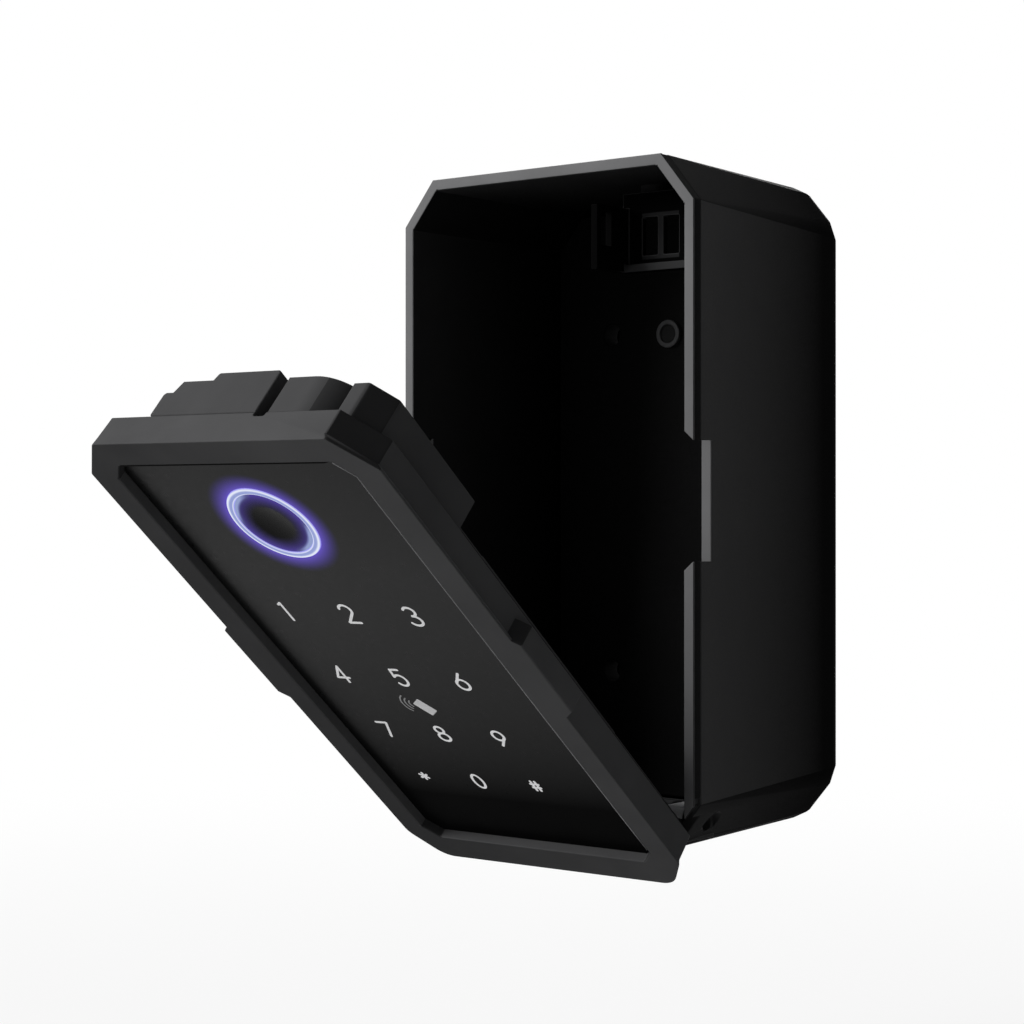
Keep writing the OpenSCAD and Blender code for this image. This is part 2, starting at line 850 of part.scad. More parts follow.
module rear_cover() {
    cavity = cover_inset + cavity_inset;
    color([0.075, 0.075, 0.08]) in_door() difference() {
        union() {
            door_layer(frame_t, cover_low) cover_outline(cover_inset);
            intersection() {
                door_layer(frame_t, cover_deep) deep_outline();
                door_box(block_u0, door_w, 0, block_deep, deep_v, door_h);
            }
            up_door(block_v0, door_h) block_outline(0);
            hump();
            bay_shell();
        }
        intersection() {
            door_layer(frame_t - over, cover_low - cover_wall) cover_outline(cavity);
            difference() {
                door_box(-door_w, door_w, 0, block_deep, 0, bolt_v0 - bolt_top);
                door_box(-bay_u - bay_wall, bay_u + bay_wall, 0, block_deep,
                    bay_v0 - bay_wall, bay_v1 + bay_wall);
            }
        }
        intersection() {
            door_layer(frame_t - over, cover_deep - cover_wall) cover_outline(cavity);
            door_box(block_u1 + cover_wall, door_w, 0, block_deep, deep_v + cover_wall, slot_v0 - cover_wall);
        }
        difference() {
            block_room();
            clamp_posts();
        }
        bay_room();
        tongue_slot();
        hump_room();
        door_box(block_u1 - 2*cover_wall, block_u1 + slot_w + over, bolt_w0 - bolt_room, bolt_w1 + bolt_room,
            bolt_v0 - run_room, bolt_v1 + run_room);
        cover_bars(cover_screw_r + head_room, frame_t - over, block_deep);
        cover_bars(cover_head_r + head_room, cover_low - cover_head_t, block_deep);
    }
}

module cover_screws() {
    color("silver") in_door() {
        cover_bars(cover_screw_r - grip, frame_t - cover_screw_d, cover_low - cover_head_t + eps);
        cover_bars(cover_head_r, cover_low - cover_head_t, cover_low);
    }
}

// Wiper seal round the foot of the rear cover
module door_seal() {
    color([0.02, 0.02, 0.02]) in_door() difference() {
        door_layer(frame_t, frame_t + seal_t) difference() {
            cover_outline(seal_out);
            cover_outline(cover_inset);
        }
        door_box(block_u0 - seat_fit, block_u1 + slot_w, 0, block_deep, door_h/2, door_h + over);
        door_box(block_u1, door_w, 0, block_deep, deep_v - seat_fit, door_h + over);
        door_box(-door_w, door_w, 0, block_deep, 0, cover_v0 + eps);
    }
}

module main_board() {
    v0 = deep_v + cover_wall + main_end;
    back = main_w0 + board_t;
    color([0.06, 0.24, 0.14]) in_door() {
        door_box(main_u0, main_u1, main_w0, back, v0, slot_v0 - cover_wall - main_end);
        door_box(main_u0 + 2*main_end, main_u0 + 2*main_end + chip, back - eps, back + chip_t,
            v0 + main_end, v0 + main_end + chip);
        door_box(main_u1 - main_end - plug_w, main_u1 - main_end, back - eps, back + plug_t,
            v0 + main_end, v0 + main_end + chip);
    }
}

// Flat right-angle gearbox with the motor can below it
module gear_motor() {
    color([0.6, 0.6, 0.62]) in_door() difference() {
        union() {
            door_box(pinion_u - gearbox_half, pinion_u + gearbox_half, gearbox_w0, gearbox_w1,
                pinion_v - gearbox_low, pinion_v + gearbox_high);
            translate([pinion_u, on_door(motor_w), door_z(motor_v0)])
                cylinder(r = motor_r, h = pinion_v - gearbox_low + eps - motor_v0);
        }
        door_bar(pinion_u, pinion_v, shaft_r + pin_fit, 0, bolt_w1);
    }
}

// Strap over the front of the motor can, screwed to posts of the rear cover
module motor_clamp() {
    half = motor_r + clamp_side;
    v0 = clamp_v - clamp_rise;
    v1 = clamp_v + clamp_rise;
    color([0.3, 0.3, 0.31]) in_door() difference() {
        union() {
            door_box(pinion_u - clamp_half, pinion_u + clamp_half, motor_w - clamp_t, motor_w, v0, v1);
            door_box(pinion_u - half, pinion_u + half, motor_w - motor_r - clamp_top, motor_w, v0, v1);
        }
        translate([pinion_u, on_door(motor_w), door_z(v0) - over])
            cylinder(r = motor_r + press, h = v1 - v0 + 2*over);
        clamp_bars(clamp_screw_r + head_room, 0, block_deep);
    }
}

module clamp_screws() {
    color("silver") in_door() {
        clamp_bars(clamp_screw_r - grip, motor_w - clamp_t - eps, motor_w + clamp_screw_d - seat_fit);
        clamp_bars(clamp_head_r, motor_w - clamp_t - clamp_head_t, motor_w - clamp_t);
    }
}

// One tooth, drawn from the root outwards along +Z with its pitch line at z = 0
module tooth() {
    foot = -tooth_depth/2 - tooth_foot;
    tip = tooth_depth/2;
    polygon([[-tooth_root, foot], [-tooth_tip, tip], [tooth_tip, tip], [tooth_root, foot]]);
}

module drive_pinion() {
    w0 = bolt_w0 + (bolt_t - pinion_t)/2;
    color([0.75, 0.65, 0.35]) in_door() {
        translate([pinion_u, 0, door_z(pinion_v)]) along_y(on_door(w0), on_door(w0 + pinion_t)) {
            circle(r = pinion_r - tooth_depth/2);
            for (k = [0:pinion_teeth - 1]) rotate(k*360/pinion_teeth) translate([0, pinion_r]) tooth();
        }
        door_bar(pinion_u, pinion_v, shaft_r, gearbox_w0 + shaft_in, w0 + eps);
    }
}

// Bolt bar with a rack along its lower edge
module latch_bolt() {
    color("silver") in_door() {
        door_box(bolt_u0, bolt_u1, bolt_w0, bolt_w1, bolt_v0 + tooth_depth/2, bolt_v1);
        door_layer(bolt_w0, bolt_w1) for (k = [rack_first:rack_last])
            translate([pinion_u + (k + 0.5)*tooth_pitch, door_z(bolt_v0)]) mirror([0, 1]) tooth();
    }
}

function cell_u(k) = (k - (cells - 1)/2)*(cell_dia + cell_gap);

module battery_cells() {
    v0 = bay_v0 + contact_t + spring_h;
    color([0.75, 0.6, 0.25]) in_door() for (k = [0:cells - 1])
        translate([cell_u(k), on_door(cell_w), door_z(v0)]) {
            cylinder(r = cell_dia/2, h = cell_len - cell_nub);
            translate([0, 0, cell_len - cell_nub - eps]) cylinder(r = cell_nub_r, h = cell_nub);
        }
}

// Spring plates below the cells and flat plates above them
module battery_contacts() {
    color("silver") in_door() for (k = [0:cells - 1]) {
        u = cell_u(k);
        w0 = cell_w - contact_deep;
        w1 = cell_w + contact_deep;
        door_box(u - contact_half, u + contact_half, w0, w1, bay_v0, bay_v0 + contact_t);
        translate([u, on_door(cell_w), door_z(bay_v0 + contact_t - eps)])
            cylinder(r1 = spring_r, r2 = spring_tip, h = spring_h);
        door_box(u - contact_half, u + contact_half, w0, w1, bay_v1 - contact_t, bay_v1);
        translate([u, on_door(cell_w), door_z(bay_v1 - contact_t - spring_h + eps)])
            cylinder(r = stud_r, h = spring_h);
    }
}

module battery_lid() {
    u = bay_u - lid_fit;
    face = lid_w0 + lid_t;
    color([0.085, 0.085, 0.09]) in_door() {
        difference() {
            door_box(-u, u, lid_w0, face, bay_v0 - bay_wall, bay_v1 - lid_end);
            for (k = [1:grip_count])
                door_box(-grip_half, grip_half, face - grip_d, face + over,
                    bay_v0 + 2*k*grip_t, bay_v0 + (2*k + 1)*grip_t);
        }
        for (side = [-1, 1])
            door_box(side > 0 ? u - eps : -u - lid_tongue, side > 0 ? u + lid_tongue : -u + eps,
                lid_w0, lid_w0 + lid_tongue, bay_v0 - bay_wall, bay_v1 - lid_end);
    }
}

case_shell();
rim_band();
back_liner();
hole_plug();
strike_bracket();
strike_screws();
hinge_pin();
hinge_bushes();
door_frame();
touch_panel();
panel_tape();
sensor_cap();
ring_lens();
touch_board();
sensor_board();
rear_cover();
cover_screws();
door_seal();
main_board();
gear_motor();
motor_clamp();
clamp_screws();
drive_pinion();
latch_bolt();
battery_cells();
battery_contacts();
battery_lid();
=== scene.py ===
import json
import math

import bmesh
import bpy
from mathutils import Matrix, Vector
from mathutils.kdtree import KDTree


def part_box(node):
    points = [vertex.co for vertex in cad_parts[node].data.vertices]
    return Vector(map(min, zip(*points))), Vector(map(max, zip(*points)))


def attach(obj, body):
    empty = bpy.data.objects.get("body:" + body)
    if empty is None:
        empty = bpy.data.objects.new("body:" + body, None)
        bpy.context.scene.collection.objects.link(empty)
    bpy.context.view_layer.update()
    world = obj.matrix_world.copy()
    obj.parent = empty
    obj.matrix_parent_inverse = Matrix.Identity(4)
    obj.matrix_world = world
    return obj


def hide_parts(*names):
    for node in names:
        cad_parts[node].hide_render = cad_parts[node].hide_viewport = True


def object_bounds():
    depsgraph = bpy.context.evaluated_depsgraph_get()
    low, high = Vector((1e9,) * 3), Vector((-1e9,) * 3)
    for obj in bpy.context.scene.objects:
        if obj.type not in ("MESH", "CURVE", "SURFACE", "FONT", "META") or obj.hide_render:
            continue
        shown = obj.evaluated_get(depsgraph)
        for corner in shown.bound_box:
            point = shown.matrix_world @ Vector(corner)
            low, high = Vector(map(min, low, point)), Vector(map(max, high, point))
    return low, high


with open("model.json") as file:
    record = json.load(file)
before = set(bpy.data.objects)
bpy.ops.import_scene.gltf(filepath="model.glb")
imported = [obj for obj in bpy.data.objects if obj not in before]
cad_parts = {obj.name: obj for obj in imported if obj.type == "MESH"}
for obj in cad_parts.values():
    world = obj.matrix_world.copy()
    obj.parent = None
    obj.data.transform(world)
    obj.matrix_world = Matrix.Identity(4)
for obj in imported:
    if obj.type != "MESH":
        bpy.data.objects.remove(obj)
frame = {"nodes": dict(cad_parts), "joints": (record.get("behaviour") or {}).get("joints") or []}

CAD_BOX = [list(corner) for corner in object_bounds()]
MM = 0.001
NODES = frame["nodes"]
bpy.context.scene.view_settings.view_transform = "Standard"

# Axes of the case, and of the open door from the hinge's range
ACROSS = Vector((1, 0, 0))
BACKWARD = Vector((0, 1, 0))
UPRIGHT = Vector((0, 0, 1))
HINGE = next(j for j in frame["joints"] if j["name"] == "door_hinge")
OPEN = -math.radians(HINGE["range_deg"][0])
UP = Vector((0, -math.sin(OPEN), math.cos(OPEN)))
REAR = Vector((0, math.cos(OPEN), math.sin(OPEN)))


def span(node, axis):
    """Lowest and highest reach of a CAD node along an axis."""
    reach = [v.co.dot(axis) for v in NODES[node].data.vertices]
    return min(reach), max(reach)


def middle(node):
    """Centre of a CAD node's box."""
    low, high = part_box(node)
    return (low + high)/2


CASE_Y = span("case_shell", BACKWARD)

# Camera and studio
CAMERA_YAW = math.radians(39.02)
CAMERA_FROM_RIM = Vector((0.2712, -0.3439, -0.0005))
LAMP_TARGET = Vector((0, -0.06, 0))
LAMP_SIZE = 0.6
FLOOR_DROP = 0.045
FLOOR_HALF = 6.0
RANGE_KEYS = ("From Min", "From Max", "To Min", "To Max")


def make_camera():
    """The camera that was fitted to the photo."""
    data = bpy.data.cameras.new("camera")
    data.lens = 79.46
    data.sensor_width = 36
    data.shift_y = -0.0067
    data.clip_start = 0.01
    camera = bpy.data.objects.new("camera", data)
    bpy.context.scene.collection.objects.link(camera)
    ahead = Vector((-math.sin(CAMERA_YAW), math.cos(CAMERA_YAW), 0))
    place = CAMERA_FROM_RIM + BACKWARD*CASE_Y[0]
    turn = ahead.to_track_quat("-Z", "Y").to_matrix().to_4x4()
    camera.matrix_world = Matrix.Translation(place) @ turn
    bpy.context.scene.camera = camera


def seen_share(tree):
    """1 for rays that show the surround: from the camera, from a reflection or through glass."""
    path = tree.nodes.new("ShaderNodeLightPath")
    total = None
    for kind in ("Is Camera Ray", "Is Glossy Ray", "Is Transmission Ray"):
        if total is None:
            total = path.outputs[kind]
            continue
        larger = tree.nodes.new("ShaderNodeMath")
        larger.operation = "MAXIMUM"
        tree.links.new(total, larger.inputs[0])
        tree.links.new(path.outputs[kind], larger.inputs[1])
        total = larger.outputs[0]
    return total


def make_world():
    """White where it is seen, and a weak even light elsewhere."""
    world = bpy.data.worlds.new("studio")
    bpy.context.scene.world = world
    world.use_nodes = True
    tree = world.node_tree
    tree.nodes.clear()
    out = tree.nodes.new("ShaderNodeOutputWorld")
    seen = tree.nodes.new("ShaderNodeBackground")
    seen.inputs["Color"].default_value = (1, 1, 1, 1)
    seen.inputs["Strength"].default_value = 1
    light = tree.nodes.new("ShaderNodeBackground")
    light.inputs["Color"].default_value = (0.97, 0.98, 1, 1)
    light.inputs["Strength"].default_value = 0.1
    mix = tree.nodes.new("ShaderNodeMixShader")
    tree.links.new(seen_share(tree), mix.inputs[0])
    tree.links.new(light.outputs[0], mix.inputs[1])
    tree.links.new(seen.outputs[0], mix.inputs[2])
    tree.links.new(mix.outputs[0], out.inputs[0])


def area_light(name, place, power):
    """A square softbox that looks at the part."""
    data = bpy.data.lights.new(name, "AREA")
    data.shape = "RECTANGLE"
    data.size = LAMP_SIZE
    data.size_y = LAMP_SIZE
    data.energy = power
    lamp = bpy.data.objects.new(name, data)
    bpy.context.scene.collection.objects.link(lamp)
    place = Vector(place)
    turn = (LAMP_TARGET - place).to_track_quat("-Z", "Y").to_matrix().to_4x4()
    lamp.matrix_world = Matrix.Translation(place) @ turn


def make_floor():
    """White floor that takes a soft shadow near the part and fades into the background."""
    z = CAD_BOX[0][2] - FLOOR_DROP
    mesh = bpy.data.meshes.new("floor")
    corners = [(x*FLOOR_HALF, y*FLOOR_HALF, z) for x, y in ((-1, -1), (1, -1), (1, 1), (-1, 1))]
    mesh.from_pydata(corners, [], [(0, 1, 2, 3)])
    floor = bpy.data.objects.new("floor", mesh)
    bpy.context.scene.collection.objects.link(floor)
    m = bpy.data.materials.new("floor_white")
    m.use_nodes = True
    tree = m.node_tree
    shade = tree.nodes["Principled BSDF"]
    shade.inputs["Base Color"].default_value = (0.42, 0.42, 0.42, 1)
    shade.inputs["Roughness"].default_value = 0.8
    glow = tree.nodes.new("ShaderNodeEmission")
    glow.inputs["Color"].default_value = (1, 1, 1, 1)
    where = tree.nodes.new("ShaderNodeTexCoord")
    away = tree.nodes.new("ShaderNodeVectorMath")
    away.operation = "DISTANCE"
    away.inputs[1].default_value = (LAMP_TARGET.x, LAMP_TARGET.y, z)
    fade = tree.nodes.new("ShaderNodeMapRange")
    fade.interpolation_type = "SMOOTHSTEP"
    for key, number in zip(RANGE_KEYS, (0.1, 0.55, 0.86, 1.0)):
        fade.inputs[key].default_value = number
    share = tree.nodes.new("ShaderNodeMath")
    share.operation = "MULTIPLY"
    mix = tree.nodes.new("ShaderNodeMixShader")
    tree.links.new(where.outputs["Object"], away.inputs[0])
    tree.links.new(away.outputs["Value"], fade.inputs["Value"])
    tree.links.new(seen_share(tree), share.inputs[0])
    tree.links.new(fade.outputs["Result"], share.inputs[1])
    tree.links.new(share.outputs[0], mix.inputs[0])
    tree.links.new(shade.outputs[0], mix.inputs[1])
    tree.links.new(glow.outputs[0], mix.inputs[2])
    tree.links.new(mix.outputs[0], tree.nodes["Material Output"].inputs["Surface"])
    mesh.materials.append(m)


make_camera()
make_world()
make_floor()
area_light("key_softbox", (-0.7, -0.75, 0.5), 14)
area_light("back_softbox", (-0.55, 0.8, 0.25), 8)


# Materials, each made from nodes in the piece's own coordinates
NOISE_LOW, NOISE_HIGH = 0.3, 0.7
COOL = (1, 1, 1.02)
CLOUDS = 0.08


class Surface:
    """A material with a Principled shader, and short calls for the nodes that feed it."""

    def __init__(self, name):
        self.material = bpy.data.materials.new(name)
        self.material.use_nodes = True
        self.tree = self.material.node_tree
        self.shader = self.tree.nodes["Principled BSDF"]
        self.where = self.tree.nodes.new("ShaderNodeTexCoord").outputs["Object"]

    def node(self, kind, **values):
        made = self.tree.nodes.new(kind)
        for key, value in values.items():
            setattr(made, key, value)
        return made

    def link(self, source, target):
        if isinstance(source, (int, float)):
            target.default_value = source
        else:
            self.tree.links.new(source, target)

    def set(self, **values):
        for key, value in values.items():
            socket = self.shader.inputs[key.replace("_", " ")]
            if isinstance(value, tuple) and len(value) == 3:
                value = (*value, 1)
            if isinstance(value, (int, float, tuple)):
                socket.default_value = value
            else:
                self.tree.links.new(value, socket)
        return self

    def noise(self, size, detail=2.0, roughness=0.5):
        made = self.node("ShaderNodeTexNoise")
        made.inputs["Scale"].default_value = 1/size
        made.inputs["Detail"].default_value = detail
        made.inputs["Roughness"].default_value = roughness
        self.link(self.where, made.inputs["Vector"])
        return made.outputs["Fac"]

    def brushed(self, size, along):
        spread = self.node("ShaderNodeMapping")
        spread.inputs["Scale"].default_value = along
        self.link(self.where, spread.inputs["Vector"])
        made = self.node("ShaderNodeTexNoise")
        made.inputs["Scale"].default_value = 1/size
        made.inputs["Detail"].default_value = 3
        self.link(spread.outputs[0], made.inputs["Vector"])
        return made.outputs["Fac"]

    def fit(self, value, low, high, to_low, to_high):
        made = self.node("ShaderNodeMapRange")
        self.link(value, made.inputs["Value"])
        for key, number in zip(RANGE_KEYS, (low, high, to_low, to_high)):
            made.inputs[key].default_value = number
        return made.outputs["Result"]

    def vary(self, noise, low, high):
        """The usual range of a noise, spread between two values."""
        return self.fit(noise, NOISE_LOW, NOISE_HIGH, low, high)

    def math(self, operation, a, b=0.0):
        made = self.node("ShaderNodeMath", operation=operation)
        self.link(a, made.inputs[0])
        self.link(b, made.inputs[1])
        return made.outputs[0]

    def ramp(self, value, stops):
        made = self.node("ShaderNodeValToRGB")
        keys = made.color_ramp.elements
        while len(keys) < len(stops):
            keys.new(0.5)
        for key, (at, colour) in zip(keys, stops):
            key.position = at
            key.color = (*colour, 1)
        self.link(value, made.inputs[0])
        return made.outputs["Color"]

    def bump(self, height, depth, strength=1.0, under=None):
        made = self.node("ShaderNodeBump")
        made.inputs["Strength"].default_value = strength
        made.inputs["Distance"].default_value = depth
        self.link(height, made.inputs["Height"])
        if under:
            self.link(under, made.inputs["Normal"])
        return made.outputs["Normal"]

    def distance(self, point):
        made = self.node("ShaderNodeVectorMath", operation="DISTANCE")
        self.link(self.where, made.inputs[0])
        made.inputs[1].default_value = tuple(point)
        return made.outputs["Value"]

    def along(self, axis):
        made = self.node("ShaderNodeVectorMath", operation="DOT_PRODUCT")
        self.link(self.where, made.inputs[0])
        made.inputs[1].default_value = tuple(axis)
        return made.outputs["Value"]

    def off(self, value, centre):
        """How far a value lies from a centre, on either side."""
        return self.math("ABSOLUTE", self.math("SUBTRACT", value, centre))


def grey(level):
    return tuple(level*t for t in COOL)


def moulded(name, level, rough, grain, depth, specular=0.5, shade_fall=None):
    """Moulded plastic with a spark-eroded grain and slight cloudiness; where a fading axis is given, colour
    and reflection darken along it as painted shade.
    """
    s = Surface(name)
    cloud_and_shade = s.vary(s.noise(14*MM, 3), 1 - CLOUDS, 1 + CLOUDS)
    if shade_fall:
        axis, start, end, last = shade_fall
        share = s.fit(s.along(axis), start, end, 1, last)
        cloud_and_shade = s.math("MULTIPLY", cloud_and_shade, share)
        specular = s.math("MULTIPLY", share, specular)
    s.set(Base_Color=s.ramp(s.math("MULTIPLY", cloud_and_shade, 0.5), [(0.0, grey(0.0)), (1.0, grey(2*level))]))
    fine = s.noise(grain, 2, 0.6)
    s.set(Roughness=s.vary(fine, rough - 0.06, rough + 0.08), Specular_IOR_Level=specular)
    s.set(Normal=s.bump(fine, depth, 0.6, s.bump(s.noise(6*MM, 1), 0.02*MM, 0.25)))
    return s


def metal(name, colour, rough, along):
    """Brushed metal, slightly worn."""
    s = Surface(name)
    lines = s.brushed(0.25*MM, along)
    worn = s.noise(2.5*MM, 4)
    dark = tuple(c*0.78 for c in colour)
    s.set(Base_Color=s.ramp(worn, [(0.3, dark), (0.7, colour)]), Metallic=1.0)
    s.set(Roughness=s.vary(lines, rough - 0.08, rough + 0.1), Normal=s.bump(lines, 0.01*MM, 0.4))
    return s


# Painted shade: the case's colour and reflection grow darker towards the back
CASE_SHADE_FALL = (BACKWARD, CASE_Y[0] + 4*MM, CASE_Y[1] - 8*MM)
CASE = moulded("case_black", 0.03, 0.55, 0.32*MM, 0.03*MM, 0.055, shade_fall=(*CASE_SHADE_FALL, 0.06))
CASE_BACK = moulded("case_back", 0.035, 0.55, 0.32*MM, 0.03*MM, 0.06)
# Painted shade: the slanted corners of the case are darker still
CASE_CORNER_SHADE = moulded("case_corner_painted_shade", 0.014, 0.6, 0.32*MM, 0.03*MM, 0.012, shade_fall=(*CASE_SHADE_FALL, 0.2))
LIP = moulded("lip_grey", 0.14, 0.5, 0.3*MM, 0.02*MM, 0.1)
BOSS = moulded("boss_grey", 0.6, 0.5, 0.3*MM, 0.02*MM, 0.1)
DOOR = moulded("door_black", 0.085, 0.5, 0.3*MM, 0.02*MM, 0.004)
# Painted shade: the door's front darkens away from the lit side, towards the lower left
LIGHT_SIDE = (0.96*ACROSS + 0.27*UP).normalized()
FACE_MIDDLE = middle("touch_panel").dot(LIGHT_SIDE)
DOOR_FACE_SHADED = moulded("door_face_painted_shade", 0.085, 0.5, 0.3*MM, 0.02*MM, 0.004,
                    shade_fall=(LIGHT_SIDE, FACE_MIDDLE + 42*MM, FACE_MIDDLE - 48*MM, 0.55))
# Painted shade: the slanted corners of the door and its rear cover are darker
DOOR_CORNER_SHADE = moulded("door_corner_painted_shade", 0.04, 0.5, 0.3*MM, 0.02*MM, 0.002)
COVER = moulded("cover_black", 0.072, 0.5, 0.35*MM, 0.03*MM, 0.004)
LINER = moulded("liner_black", 0.006, 0.62, 0.4*MM, 0.04*MM, 0.03)
RUBBER = moulded("rubber_black", 0.006, 0.75, 0.25*MM, 0.02*MM, 0.03)
STRIKE_Y = span("strike_bracket", BACKWARD)
# Painted highlight: the strike's rounded edges and the front of its lower flange are lighter, fading towards
# the back
EDGE_HIGHLIGHT = moulded("edge_painted_highlight", 0.042, 0.5, 0.2*MM, 0.01*MM, 0.0,
               shade_fall=(BACKWARD, STRIKE_Y[1] - 11.8*MM, STRIKE_Y[1] - 14*MM, 0.1))
# Painted highlight: light grey for the bead along the recess edge
BEAD_HIGHLIGHT = moulded("bead_painted_highlight", 0.3, 0.4, 0.2*MM, 0.01*MM, 0.3)
BUSH = moulded("bush_grey", 0.62, 0.45, 0.3*MM, 0.02*MM)
TAPE = moulded("tape_black", 0.03, 0.8, 0.5*MM, 0.03*MM, 0.3)
STEEL = metal("steel_bright", (0.62, 0.62, 0.6), 0.28, (1, 8, 8))
BRASS = metal("brass_cut", (0.72, 0.55, 0.25), 0.3, (1, 6, 1))
CAN = metal("motor_can", (0.5, 0.5, 0.52), 0.32, (6, 6, 1))


def plug_material():
    """Grey flange round a dark middle."""
    s = Surface("plug_grey")
    at = middle("hole_plug")
    at.y = span("hole_plug", BACKWARD)[0]
    s.set(Base_Color=s.ramp(s.fit(s.distance(at), 0, 3*MM, 0, 1), [(0.62, grey(0.004)), (0.68, grey(0.085))]))
    fine = s.noise(0.25*MM, 2)
    s.set(Roughness=s.vary(fine, 0.5, 0.66), Specular_IOR_Level=0.1)
    s.set(Normal=s.bump(fine, 0.02*MM, 0.5))
    return s


def strike_material():
    """Dark painted steel, with a painted highlight on the bars round the two windows of the plate."""
    s = Surface("steel_painted")
    left, right = span("strike_bracket", ACROSS)
    foot, top = span("strike_bracket", UPRIGHT)
    mullion = (left + right)/2 + 0.75*MM
    sill, head = foot + 3.2*MM, top - 5*MM
    across, height = s.along(ACROSS), s.along(UPRIGHT)

    def within(value, centre, half):
        return s.fit(s.off(value, centre), half, half + 0.2*MM, 1, 0)

    rails = s.math("MAXIMUM", within(height, sill - 0.4*MM, 0.3*MM), within(height, head + 0.4*MM, 0.3*MM))
    rails = s.math("MULTIPLY", rails, within(across, mullion, 4.3*MM))
    post = s.math("MULTIPLY", within(across, mullion, 0.6*MM),
                  within(height, (sill + head)/2, (head - sill)/2))
    # The lighter bars are a painted highlight where the window edges catch the light
    bare = s.math("MAXIMUM", rails, post)
    s.set(Base_Color=s.ramp(bare, [(0.0, grey(0.003)), (1.0, grey(0.024))]), Specular_IOR_Level=0.0)
    fine = s.noise(0.2*MM, 2, 0.6)
    s.set(Roughness=s.vary(fine, 0.4, 0.55), Normal=s.bump(fine, 0.01*MM, 0.6))
    return s


def board_material():
    """Green lacquer with paler tracks."""
    s = Surface("board_green")
    cells = s.node("ShaderNodeTexVoronoi", feature="DISTANCE_TO_EDGE")
    cells.inputs["Scale"].default_value = 1/(2.2*MM)
    s.link(s.where, cells.inputs["Vector"])
    track, lacquer = (0.05, 0.2, 0.09), (0.012, 0.08, 0.035)
    s.set(Base_Color=s.ramp(cells.outputs["Distance"], [(0.05, track), (0.09, lacquer)]))
    s.set(Roughness=s.vary(s.noise(1*MM), 0.3, 0.45))
    return s


def cell_material():
    """Battery wrap: black with a copper band, bare metal at both ends."""
    s = Surface("cell_wrap")
    low, high = span("battery_cells", UP)
    split = s.fit(s.along(UP), low, high, 0, 1)
    black, copper = (0.02, 0.02, 0.022), (0.45, 0.22, 0.07)
    s.set(Base_Color=s.ramp(split, [(0.0, (0.5, 0.5, 0.48)), (0.03, black), (0.7, black),
                                    (0.71, copper), (0.96, copper), (0.97, (0.6, 0.6, 0.58))]))
    s.set(Roughness=s.vary(s.noise(1.5*MM, 3), 0.22, 0.36), Metallic=0.4)
    return s


PLUG = plug_material()
STRIKE = strike_material()
BOARD = board_material()
CELL = cell_material()

# Ring and panel share the light that spills from the ring
RING_AT = middle("ring_lens")
RING_R = (span("ring_lens", ACROSS)[1] - span("ring_lens", ACROSS)[0])/2
PANEL_FACE = span("touch_panel", REAR)[0]
RING_FACE = RING_AT + REAR*(PANEL_FACE - RING_AT.dot(REAR))
LIT_ENDS = (0.756*ACROSS - 0.655*UP).normalized()
VIOLET = (0.2, 0.12, 0.95)
RING_WHITE = (0.85, 0.9, 1)


def panel_material(name, level, rough, glow, shine, ends=0.0):
    """Dark acrylic that carries violet light out from the ring; painted shade darkens it and weakens its
    reflection towards its foot.

    Where ends is given, the ring also lights two patches inside it, at the far ends of one diagonal."""
    s = Surface(name)
    haze = s.noise(20*MM, 3)
    low, high = span("touch_panel", UP)
    height = s.fit(s.along(UP), low, high, 0, 1)
    # Painted shade: colour darkens and reflection weakens towards the foot of the panel
    tone = s.math("MULTIPLY", s.vary(haze, 0.43, 0.57), s.fit(height, 0, 0.6, 0.45, 1))
    s.set(Base_Color=s.ramp(tone, [(0.0, grey(0)), (1.0, grey(2*level))]))
    s.set(Roughness=s.vary(s.noise(1.2*MM, 3), rough - 0.03, rough + 0.05))
    s.set(Specular_IOR_Level=s.fit(height, 0.12, 0.72, shine*0.02, shine))
    s.set(Normal=s.bump(s.noise(9*MM, 1), 0.012*MM, 0.2))
    fade = s.fit(s.off(s.distance(RING_FACE), RING_R - 0.7*MM), 0.5*MM, 4.6*MM, 1, 0)
    spill = s.math("MULTIPLY", s.math("POWER", fade, 1.8), glow)
    if not ends:
        return s.set(Emission_Color=VIOLET, Emission_Strength=spill)
    reach = s.off(s.along(LIT_ENDS), RING_FACE.dot(LIT_ENDS))
    patch = s.math("MULTIPLY", s.fit(reach, RING_R - 4.4*MM, RING_R - 2.4*MM, 0, 1),
                   s.fit(s.distance(RING_FACE), RING_R - 2.9*MM, RING_R - 2.1*MM, 0, 1))
    s.set(Emission_Color=s.ramp(patch, [(0.0, VIOLET), (1.0, (0.45, 0.55, 0.95))]))
    return s.set(Emission_Strength=s.math("MAXIMUM", spill, s.math("MULTIPLY", patch, ends)))


def ring_material():
    """Lit ring: two white lines with a bluer band between them and violet edges."""
    s = Surface("ring_light")
    s.set(Base_Color=(0.1, 0.11, 0.2), Specular_IOR_Level=0.2)
    s.set(Roughness=s.vary(s.noise(1*MM), 0.3, 0.4))
    s.set(Emission_Color=s.ramp(s.fit(s.distance(RING_FACE), RING_R - 1.5*MM, RING_R, 0, 1),
                                [(0.0, (0.3, 0.28, 0.9)), (0.12, (0.8, 0.84, 1)), (0.26, (0.24, 0.3, 0.62)),
                                 (0.55, (0.28, 0.34, 0.66)), (0.75, RING_WHITE), (0.88, RING_WHITE),
                                 (1.0, (0.3, 0.26, 0.9))]))
    s.set(Emission_Strength=0.8)
    return s


PANEL = panel_material("panel_black", 0.007, 0.3, 0.52, 0.066)
SENSOR = panel_material("sensor_black", 0.004, 0.25, 0.36, 0.03, 0.6)
RING = ring_material()


